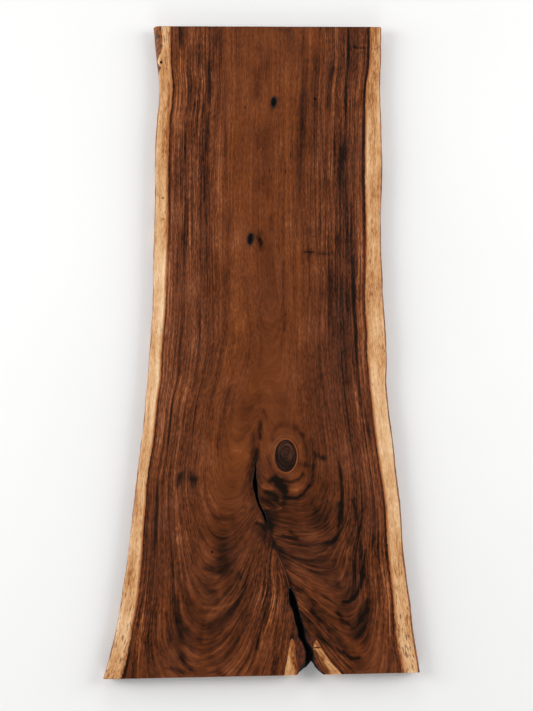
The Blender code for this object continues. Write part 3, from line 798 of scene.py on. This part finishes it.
def shaded_hollow(x, y, z, on_wall):
    """Painted shade: 1 on the walls of cracks, pits, holes and the notch, and a little less at their mouths.
    """
    result = np.zeros(x.shape)
    depth = (THICKNESS - z) / (THICKNESS - CRACK_FLOOR)
    for stations in (LOWER_CRACK, UPPER_CRACK):
        middle, half_width = along(stations, y)
        near = np.abs(x - middle + CRACK_LEAN * depth) < half_width + BESIDE
        result[near & (y > stations[0][0] - BESIDE) & (y < stations[-1][0] + BESIDE)] = 1.0
    for knot_x, knot_y, half_width, half_length, _ in KNOT_PITS.values():
        result[np.hypot((x - knot_x) / half_width, (y - knot_y) / half_length) < 1.3] = 1.0
    hole_x, hole_y, radius, _ = BEETLE_HOLE
    result[np.hypot(x - hole_x, y - hole_y) < 1.5 * radius] = 1.0
    in_notch = (np.abs(x - NOTCH_AT_FACE[1][1]) < 0.07) & (y < NOTCH_AT_FACE[-1][0] + 0.01)
    result[in_notch & (y > foot_cut(x) + SKIN)] = 1.0
    below = THICKNESS - z
    # At the mouths the painted shade is 0.8, so it blends a little onto the face round each opening
    mouth = 0.8 * (on_wall & (below < 0.5 * SKIN))
    return result * np.maximum(smooth_step(below, 0.2 * SKIN, 2.2 * SKIN), mouth) * (z > SKIN)


def bark_rim(x, y):
    """The distance from the nearer live edge, as a share of the bark's width there."""
    from_left = (x - along(LEFT_EDGE, y)[0]) / along(BARK_RIM, y)[0]
    return np.minimum(from_left, (along(RIGHT_EDGE, y)[0] - x) / RIGHT_BARK_WIDTH)


def add_attributes(plank):
    """Stores on each vertex what the material reads."""
    mesh = plank.data
    places = np.empty(3 * len(mesh.vertices), dtype=np.float32)
    mesh.vertices.foreach_get("co", places)
    x, y, z = places.reshape(-1, 3).astype(float).T
    ring, side = figure(x, y, z)
    step = 0.001
    slope = np.hypot(figure(x + step, y, z)[0] - ring, figure(x, y + step, z)[0] - ring) / step
    layers = {
        "ring": ring,
        "side": side,
        "steepness": np.clip(slope / RINGS_PER_METRE, 0.0, MOST_STEEPNESS),
        "stain": stain(x, y, z, ring),
        "lightness": broad(AREAS, x, y),
        "contrast": 1.0 + broad(CONTRASTS, x, y),
        "wedge": inside_wedges(x, y),
        "beyond_seam": smooth_step(
            np.abs(x - along(SEAM, y)[0]), SEAM_WOOD_UP_TO, SEAM_WOOD_ENDS_AT
        ),
        "bark": bark_grown_in(x, y),
        "rim": bark_rim(x, y),
        # Where the walls of the openings get painted shade
        "shaded_hollow": shaded_hollow(x, y, z, touches_wall(mesh)),
    }
    for name, values in layers.items():
        layer = mesh.attributes.new(name, "FLOAT", "POINT")
        layer.data.foreach_set("value", values.astype(np.float32))


class Shader:
    """Short calls that add nodes to one node tree. Numbers and sockets both go in as values."""

    def __init__(self, tree):
        self.tree = tree

    def feed(self, socket, value):
        if isinstance(value, bpy.types.NodeSocket):
            self.tree.links.new(value, socket)
        else:
            socket.default_value = value

    def fill(self, node, values):
        """Puts values into a node's sockets by their names."""
        for name, value in values.items():
            self.feed(node.inputs[name], value)

    def node(self, kind, *values, **settings):
        """Adds a node with these settings and these values in its first sockets."""
        made = self.tree.nodes.new("ShaderNode" + kind)
        for name, setting in settings.items():
            setattr(made, name, setting)
        for socket, value in zip(made.inputs, values):
            self.feed(socket, value)
        return made

    def attribute(self, name):
        return self.node("Attribute", attribute_name=name).outputs["Fac"]

    def math(self, operation, *values):
        return self.node("Math", *values, operation=operation).outputs[0]

    def add(self, *values):
        return reduce(partial(self.math, "ADD"), values)

    def times(self, *values):
        return reduce(partial(self.math, "MULTIPLY"), values)

    def minus(self, value, less):
        return self.math("SUBTRACT", value, less)

    def fade(self, value, low, high, start=0.0, end=1.0):
        """start where value is at low, end where it is at high, and an even curve between."""
        values = (value, low, high, start, end)
        return self.node("MapRange", *values, interpolation_type="SMOOTHSTEP", clamp=False).outputs["Result"]

    def band(self, value, centre, half_width):
        """1 where value is at centre, and 0 further than half_width from it."""
        return self.fade(self.math("ABSOLUTE", self.minus(value, centre)), half_width, 0.0)

    def parts(self, vector):
        return self.node("SeparateXYZ", vector).outputs

    def noise(self, *axes, detail=2.0, roughness=0.5):
        """Noise from 0 to 1 round 0.5. Each axis is a value and how many features a unit of it holds."""
        x, y, z, *w = (self.times(value, features) for value, features in axes)
        vector = self.node("CombineXYZ", x, y, z).outputs[0]
        node = self.node("TexNoise", vector, *w, noise_dimensions="4D" if w else "3D")
        self.fill(node, {"Scale": 1.0, "Detail": detail, "Roughness": roughness})
        return node.outputs["Fac"]

    def swing(self, value, amount):
        """Noise turned to a swing of about amount either way."""
        return self.times(self.minus(value, 0.5), 4.0 * amount)

    def ramp(self, value, stops):
        node = self.node("ValToRGB", value)
        stop_list = node.color_ramp.elements
        while len(stop_list) < len(stops):
            stop_list.new(0.5)
        for stop, (position, colour) in zip(stop_list, stops):
            stop.position = position
            stop.color = (*colour, 1.0)
        return node.outputs["Color"]

    def mix(self, share, first, second):
        node = self.node("Mix", share, data_type="RGBA")
        for socket, value in zip(node.inputs[6:8], (first, second)):
            self.feed(socket, (*value, 1.0) if isinstance(value, tuple) else value)
        return node.outputs[2]


def srgb(red, green, blue):
    """A colour as the photograph shows it, from 0 to 255, turned to linear light."""
    return tuple(
        ((v / 255.0 + 0.055) / 1.055) ** 2.4 if v > 10 else v / 255.0 / 12.92 for v in (red, green, blue)
    )


def ramp_stops(*rows):
    """The stops of a ramp from rows of its place from 0 to 1, red, green and blue."""
    return tuple((place, srgb(*colour)) for place, *colour in rows)


# Colours as the photograph shows them, from dark to light
WARM_HEART = ramp_stops(
    (0.0, 21, 10, 4), (0.18, 50, 24, 10), (0.36, 77, 37, 16), (0.55, 101, 51, 23), (0.74, 120, 63, 29),
    (1.0, 162, 96, 50),
)
COOL_HEART = ramp_stops(
    (0.0, 22, 11, 6), (0.18, 55, 28, 15), (0.36, 80, 41, 23), (0.55, 102, 54, 31), (0.74, 123, 69, 42),
    (1.0, 166, 106, 70),
)
SAP_STOPS = ramp_stops(
    (0.0, 84, 42, 20), (0.22, 145, 86, 42), (0.45, 195, 141, 91), (0.66, 218, 171, 124), (1.0, 240, 208, 168),
)
KNOT_STOPS = ramp_stops((0.0, 16, 10, 8), (0.5, 48, 27, 19), (1.0, 96, 56, 38))
FLECK = srgb(106, 58, 28)
SAP_BORDER = srgb(160, 90, 42)
BARK_SKIN = srgb(140, 68, 16)
BARK_DARK = srgb(56, 21, 5)
GROWN_IN_BARK = srgb(90, 37, 8)
GROWN_IN_BARK_DARK = srgb(48, 17, 4)
# Near black painted shade for the walls of the cracks, pits, beetle hole and notch
HOLLOW_PAINTED_SHADE = srgb(11, 6, 3)
KNOT_RIM = srgb(150, 82, 42)
DEAD_KNOT = srgb(25, 21, 18)
# Dark colours for the end grain, and for the painted shade along the face's sawn edges
HEART_END_GRAIN_AND_EDGE_SHADE = COOL_HEART[1][1]
SAP_END_GRAIN_AND_EDGE_SHADE = SAP_STOPS[1][1]


def streak_group():
    """A node group that gives 1 along one grain streak and 0 away from it."""
    group = bpy.data.node_groups.new("grain_streak", "ShaderNodeTree")
    for name in ("Ring", "X", "Y", *STREAK_PLACE):
        group.interface.new_socket(name, in_out="INPUT", socket_type="NodeSocketFloat")
    group.interface.new_socket("Share", in_out="OUTPUT", socket_type="NodeSocketFloat")
    s = Shader(group)
    given = group.nodes.new("NodeGroupInput").outputs
    away_x = s.minus(given["X"], given["From X"])
    away_y = s.minus(given["Y"], given["From Y"])
    t = s.add(s.times(away_x, given["Step X"]), s.times(away_y, given["Step Y"]))
    aside = s.minus(s.times(away_x, given["Step Y"]), s.times(away_y, given["Step X"]))
    expected = s.add(given["From Ring"], s.times(t, given["Ring Step"]))
    across = s.band(given["Ring"], expected, given["Half Width"])
    ends = s.math("MINIMUM", 1.0, s.times(END_GAIN, s.band(t, 0.5, END_REACH)))
    beside = s.math("MINIMUM", 1.0, s.times(SIDE_GAIN, s.band(aside, 0.0, given["Reach"])))
    s.feed(group.nodes.new("NodeGroupOutput").inputs["Share"], s.times(across, ends, beside))
    return group


def thin_streaks(s, at):
    """The darkness of the thin grain streaks together."""
    group = streak_group()
    marks = []
    for place, darkness in streaks(False):
        node = s.node("Group", node_tree=group)
        s.fill(node, {"Ring": at.ring, "X": at.x, "Y": at.y, **place})
        marks.append(s.times(node.outputs[0], darkness))
    return s.add(*marks)


def spots(s, at):
    """The darkness of all the small marks together."""
    marks = []
    for px, py, half_width, half_height, darkness in SPOTS:
        cx, cy = on_face(px, py)
        away_x = s.times(s.minus(at.x, cx), 1000.0 / half_width)
        away_y = s.times(s.minus(at.y, cy), 1000.0 / half_height)
        away = s.add(s.times(away_x, away_x), s.times(away_y, away_y))
        marks.append(s.fade(away, 1.6, 0.1, 0.0, darkness))
    return s.add(*marks)


def ellipse(s, x, y, centre_x, centre_y, half_width, half_length, turn=0.0):
    """The distance from an ellipse's centre, which is 1 on its line."""
    away_x, away_y = s.minus(x, centre_x), s.minus(y, centre_y)
    cos, sin = math.cos(turn), math.sin(turn)
    u = s.times(s.add(s.times(away_x, cos), s.times(away_y, sin)), 1.0 / half_width)
    v = s.times(s.add(s.times(away_y, cos), s.times(away_x, -sin)), 1.0 / half_length)
    return s.math("SQRT", s.add(s.times(u, u), s.times(v, v)))


def find_place(s):
    """Where each point lies and how the wood grew there."""
    x, y, z = s.parts(s.node("TexCoord").outputs["Object"])
    normal = s.parts(s.node("NewGeometry").outputs["Normal"])
    grown = s.attribute("ring")
    slow = s.noise((x, 9.0), (y, 3.0), (z, 9.0))
    bent = s.noise((grown, 21.0), (x, 6.0), (y, 13.0), (z, 55.0))
    ring = s.add(grown, s.swing(slow, 0.005), s.swing(bent, 0.0022))
    return SimpleNamespace(
        x=x, y=y, z=z, ring=ring, side=s.attribute("side"),
        below_face=s.minus(THICKNESS, z),
        sideways=s.math("ABSOLUTE", normal["X"]),
        endways=s.math("ABSOLUTE", normal["Y"]),
        outer=s.fade(ring, 0.25, 0.75),
        wobble=s.swing(s.noise((x, 55.0), (y, 13.0), (z, 55.0)), 0.0012),
    )


def growth_lines(s, at, per_ring, per_metre, seed, detail=2.0, sideways=0.6):
    """Noise drawn out along the grain: so many lines from pith to sapwood, broken so often a metre."""
    beside = s.add(s.times(at.side, 0.55), s.times(at.x, sideways * per_metre), seed)
    axes = (at.ring, per_ring), (beside, 1.0), (at.y, per_metre), (at.z, 0.6 * per_metre)
    return s.noise(*axes, detail=detail, roughness=0.6)


def mottle(s, at, across, lengthwise, detail=3.0, roughness=0.55):
    """Noise that doesn't follow the rings, with so many features a metre across the plank and along it."""
    return s.noise((at.x, across), (at.y, lengthwise), (at.z, across), detail=detail, roughness=roughness)


def find_textures(s, at):
    """What heartwood and sapwood both read."""
    return SimpleNamespace(
        dashes=growth_lines(s, at, 125.0, 55.0, 45.0, detail=1.0, sideways=0.3),
        pores=s.fade(growth_lines(s, at, 420.0, 60.0, 27.0, detail=0.0), 0.6, 0.72),
        clouds=mottle(s, at, 11.0, 7.0),
        beyond_seam=s.attribute("beyond_seam"),
        wedge=s.attribute("wedge"),
        lightness=s.attribute("lightness"),
        contrast=s.attribute("contrast"),
    )


def find_marks(s, at):
    """The darkness of streaks, spots and stains together."""
    drawn = s.add(thin_streaks(s, at), spots(s, at))
    drawn = s.times(drawn, s.fade(at.below_face, MARKS_FADE_TO, MARKS_FADE_FROM))
    return s.add(drawn, s.attribute("stain"))


def heartwood(s, at, textures, marks):
    wide = growth_lines(s, at, 13.0, 0.7, 3.0, detail=1.0)
    medium = growth_lines(s, at, 40.0, 1.8, 9.0)
    fine = growth_lines(s, at, 130.0, 6.0, 15.0, sideways=0.25)
    vein_noise = growth_lines(s, at, 19.0, 1.0, 63.0, detail=1.0)
    dark_veins = s.times(s.band(vein_noise, 0.5, 0.035), -0.32)
    veins = s.add(dark_veins, s.times(s.band(vein_noise, 0.43, 0.025), 0.15))
    quarter_cut = s.fade(s.attribute("steepness"), 0.15, 0.85)
    flat_cut = s.minus(1.0, quarter_cut)
    contrast = s.times(
        textures.contrast, s.add(0.3, s.times(at.outer, 0.7)), s.add(0.48, s.times(quarter_cut, 0.52))
    )
    soft_contrast = s.add(0.06, s.times(contrast, 0.5), s.times(quarter_cut, 0.44))
    grainy = s.add(0.7, s.times(medium, 0.3), s.times(textures.dashes, 0.3))
    foot_lines = s.add(s.band(at.ring, 0.956, 0.008), s.band(at.ring, 0.926, 0.007))
    foot_lines = s.times(foot_lines, s.fade(at.y, -0.3, -0.6), 0.55)
    border = s.times(s.add(s.band(at.ring, 0.99, 0.013), foot_lines), textures.beyond_seam)
    tone = s.add(
        0.552,
        textures.lightness,
        s.times(contrast, s.add(s.swing(wide, 0.2), s.swing(medium, 0.32), s.swing(fine, 0.28))),
        s.times(contrast, veins, s.fade(medium, 0.4, 0.62)),
        s.times(flat_cut, s.add(s.swing(fine, 0.07), s.times(at.outer, s.swing(medium, 0.1)))),
        s.times(soft_contrast, s.swing(textures.dashes, 0.27)),
        s.swing(textures.clouds, 0.11),
        s.swing(mottle(s, at, 14.0, 60.0, 2.0), 0.025),
        s.times(marks, grainy, -0.55),
        s.times(textures.pores, s.add(0.35, at.outer), -0.1),
        s.times(border, s.add(0.2, wide), -0.36),
    )
    head_and_foot = s.fade(s.math("ABSOLUTE", at.y), 0.5, 1.15)
    cool = s.add(s.times(at.outer, 0.7), s.swing(textures.clouds, 0.4), s.times(head_and_foot, -0.35))
    return s.mix(cool, s.ramp(tone, WARM_HEART), s.ramp(tone, COOL_HEART))


def sapwood(s, at, textures, marks):
    """Pale wood with brown fibres, flecked most towards both ends."""
    ends = s.add(s.fade(at.y, -0.75, -1.2), s.fade(at.y, 0.95, 1.2))
    near_heart = s.math(
        "MAXIMUM",
        s.times(s.fade(at.ring, 1.03, 1.0), textures.beyond_seam),
        s.times(s.fade(textures.wedge, 0.0045, 0.0), s.fade(textures.wedge, -0.01, -0.001)),
    )
    tone = s.add(
        0.61,
        textures.lightness,
        s.swing(growth_lines(s, at, 9.0, 1.2, 33.0), 0.2),
        s.swing(growth_lines(s, at, 45.0, 9.0, 39.0), 0.14),
        s.swing(textures.dashes, 0.17),
        s.swing(textures.clouds, 0.2),
        s.times(ends, -0.05),
        s.times(marks, -0.6),
    )
    flecks = s.noise((at.ring, 110.0), (at.x, 30.0), (at.y, 38.0), (at.z, 40.0), roughness=0.6)
    over = s.minus(flecks, s.add(0.7, s.times(ends, -0.05), s.times(textures.contrast, -0.075)))
    warmed = s.times(near_heart, s.fade(textures.clouds, 0.26, 0.48))
    wood = s.mix(warmed, s.ramp(tone, SAP_STOPS), SAP_BORDER)
    return s.mix(s.times(s.fade(over, 0.0, 0.06), 0.75), wood, FLECK)


def find_sap(s, at, textures):
    """1 in the sapwood and 0 in the heartwood, which meet along a finely jagged line."""
    teeth = s.swing(mottle(s, at, 160.0, 60.0, 2.0, 0.6), 1.0)
    in_outer_sap = s.fade(s.add(at.ring, s.times(teeth, 0.005)), 0.996, 1.006)
    in_wedge = s.fade(s.add(textures.wedge, s.times(teeth, 0.0016)), -0.0007, 0.0007)
    return s.math("MAXIMUM", s.times(in_outer_sap, textures.beyond_seam), in_wedge)


def add_sound_knot(s, at, wood):
    """The round end of a live branch, with its own rings. It slants through the plank."""
    centre_x, centre_y, half_width, half_length = SOUND_KNOT
    x = s.add(at.x, s.times(at.below_face, -0.35))
    y = s.add(at.y, s.times(at.below_face, 0.5), at.wobble)
    knot = ellipse(s, x, y, centre_x, centre_y, half_width, half_length)
    eye = ellipse(s, x, y, centre_x + 0.004, centre_y + 0.016, half_width, half_length)
    own_ring = s.add(s.times(knot, 0.5), s.times(eye, 0.5))
    turns = s.noise((own_ring, 11.0), (x, 22.0), (y, 22.0), roughness=0.6)
    shade = s.fade(s.add(y, s.times(x, 0.8)), centre_y + 0.04, centre_y + 0.085, -0.32, 0.0)
    tone = s.add(s.times(turns, 1.9), -0.42, shade)
    lit_side = s.fade(at.x, centre_x - 0.03, centre_x + 0.03, 0.12, 0.8)
    wood = s.mix(s.times(s.band(knot, 1.07, 0.075), lit_side), wood, KNOT_RIM)
    wood = s.mix(s.fade(knot, 1.02, 0.97), wood, s.ramp(tone, KNOT_STOPS))
    return s.mix(s.times(s.band(knot, 0.95, 0.1), 0.8), wood, KNOT_STOPS[0][1])


def add_dead_knots(s, at, wood):
    """A dark rim round the beetle's hole, and round each pit a thin dark ring in a lighter halo."""
    near_face = s.fade(at.below_face, 0.016, 0.012)
    hole_x, hole_y, radius, _ = BEETLE_HOLE
    hole = ellipse(s, at.x, at.y, hole_x, hole_y, radius, radius)
    wood = s.mix(s.times(s.fade(hole, 1.25, 1.05), near_face), wood, DEAD_KNOT)
    x = s.add(at.x, at.wobble)
    for centre_x, centre_y, half_width, half_length, _ in KNOT_PITS.values():
        knot = ellipse(s, x, at.y, centre_x, centre_y, half_width, half_length, KNOT_TURN)
        wood = s.mix(s.times(s.band(knot, 1.35, 0.4), near_face, 0.4), wood, KNOT_STOPS[1][1])
        wood = s.mix(s.times(s.fade(knot, 1.22, 1.06), near_face), wood, DEAD_KNOT)
    return wood


def new_material(name):
    """A material and the calls that fill it."""
    material = bpy.data.materials.new(name)
    material.use_nodes = True
    return material, Shader(material.node_tree)


def raintree_material():
    material, s = new_material("oiled_raintree")
    at = find_place(s)
    textures = find_textures(s, at)
    marks = find_marks(s, at)
    is_sap = find_sap(s, at, textures)
    wood = s.mix(is_sap, heartwood(s, at, textures, marks), sapwood(s, at, textures, marks))
    wood = add_sound_knot(s, at, wood)
    wood = add_dead_knots(s, at, wood)

    # Bark left on the live edges and grown in between the limbs, and painted shade inside the openings
    crumbs = mottle(s, at, 90.0, 50.0)
    skin = mottle(s, at, 30.0, 9.0, 4.0)
    edge_bark = s.times(s.fade(at.sideways, 0.25, 0.75), s.fade(skin, 0.34, 0.6), is_sap, 0.75)
    rim_bark = s.fade(s.add(s.attribute("rim"), s.swing(skin, 0.3)), 1.0, 0.85, 0.0, 0.92)
    on_edge = s.math("MAXIMUM", edge_bark, rim_bark)
    bark = s.attribute("bark")
    in_shaded_hollow = s.attribute("shaded_hollow")
    wood = s.mix(on_edge, wood, s.mix(s.fade(crumbs, 0.38, 0.58), BARK_SKIN, BARK_DARK))
    wood = s.mix(bark, wood, s.mix(s.fade(crumbs, 0.38, 0.66), GROWN_IN_BARK, GROWN_IN_BARK_DARK))
    # Painted shade: the inside of the cracks, pits, beetle hole and notch is coloured near black
    wood = s.mix(in_shaded_hollow, wood, HOLLOW_PAINTED_SHADE)

    # The saw cuts show end grain, which drinks more oil, and a thin painted shade runs along each sawn edge
    # of the face
    end_grain = s.times(s.fade(at.endways, 0.75, 0.9), s.minus(1.0, in_shaded_hollow))
    head_edge_shade = s.fade(at.y, HALF_LENGTH - 0.006, HALF_LENGTH - 0.001)
    foot_edge_shade = s.fade(at.y, -HALF_LENGTH + 0.006, -HALF_LENGTH)
    # The end grain's own darker colour together with the painted shade along the sawn edges
    end_grain_and_edge_shade = s.times(s.add(head_edge_shade, foot_edge_shade, end_grain), 0.45)
    wood = s.mix(end_grain_and_edge_shade, wood, s.mix(is_sap, HEART_END_GRAIN_AND_EDGE_SHADE, SAP_END_GRAIN_AND_EDGE_SHADE))

    # An oiled satin face, with drier pores, edges and bark
    roughness = s.add(
        0.34, s.swing(textures.clouds, 0.04), s.times(textures.pores, 0.1), s.times(is_sap, 0.05),
        s.times(on_edge, 0.22), s.times(in_shaded_hollow, 0.4), s.times(bark, 0.25), s.times(end_grain, 0.2),
    )
    height = s.add(
        s.times(textures.pores, -0.00012), s.times(textures.dashes, 0.00005), s.times(on_edge, skin, 0.0016),
        s.times(crumbs, s.add(bark, in_shaded_hollow), 0.002),
    )
    bump = s.node("Bump")
    s.fill(bump, {"Strength": 0.7, "Distance": 1.0, "Height": height})
    s.fill(s.tree.nodes["Principled BSDF"], {
        "Base Color": wood, "Roughness": roughness, "Specular IOR Level": 0.25, "Normal": bump.outputs[0],
    })
    return material


def make_slab():
    plank = make_plank()
    cut_openings(plank)
    add_attributes(plank)
    plank.data.materials.clear()
    plank.data.materials.append(raintree_material())
    plank.data.shade_smooth()
    plank.data.set_sharp_from_angle(angle=math.radians(40.0))
    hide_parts("slab")
    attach(plank, "root")


def make_floor():
    reach = 9.0
    corners = [(-reach, -reach, 0.0), (reach, -reach, 0.0), (reach, reach, 0.0), (-reach, reach, 0.0)]
    floor = add_mesh_object("floor", corners, [(0, 1, 2, 3)])
    material, s = new_material("pale_floor")
    x, y, z = s.parts(s.node("TexCoord").outputs["Object"])
    clouds = s.noise((x, 1.0), (y, 1.0), (z, 1.0), detail=4.0)
    colour = s.ramp(clouds, ((0.3, (0.86, 0.86, 0.857)), (0.7, (0.885, 0.885, 0.88))))
    s.fill(s.tree.nodes["Principled BSDF"], {"Base Color": colour, "Roughness": 0.85})
    floor.data.materials.append(material)


def light_studio():
    """Light from all sides but not from straight above, where the camera would see it mirrored."""
    world = bpy.data.worlds.new("studio")
    world.use_nodes = True
    bpy.context.scene.world = world
    s = Shader(world.node_tree)
    height = s.parts(s.node("TexCoord").outputs["Generated"])["Z"]
    strength = s.fade(height, 0.88, 0.3, 0.02, 0.62)
    s.fill(s.tree.nodes["Background"], {"Color": (1.0, 0.99, 0.975, 1.0), "Strength": strength})
    for name, place, width, depth, power in SOFTBOXES:
        light = bpy.data.lights.new(name, "AREA")
        light.shape = "RECTANGLE"
        light.size, light.size_y = width, depth
        light.energy = power
        lamp = add_to_scene(name, light)
        lamp.location = place
        lamp.rotation_euler = (Vector((0.0, 0.0, 0.0)) - Vector(place)).to_track_quat("-Z", "Y").to_euler()


def add_camera():
    camera = bpy.data.cameras.new("camera")
    camera.sensor_width = SENSOR
    camera.lens = SENSOR * FOCAL_IN_PIXELS / PHOTO_HEIGHT
    viewer = add_to_scene("camera", camera)
    viewer.location = camera_place()
    viewer.rotation_euler = (LEAN, 0.0, 0.0)
    bpy.context.scene.camera = viewer


make_slab()
make_floor()
light_studio()
add_camera()
bpy.context.scene.view_settings.view_transform = "Standard"
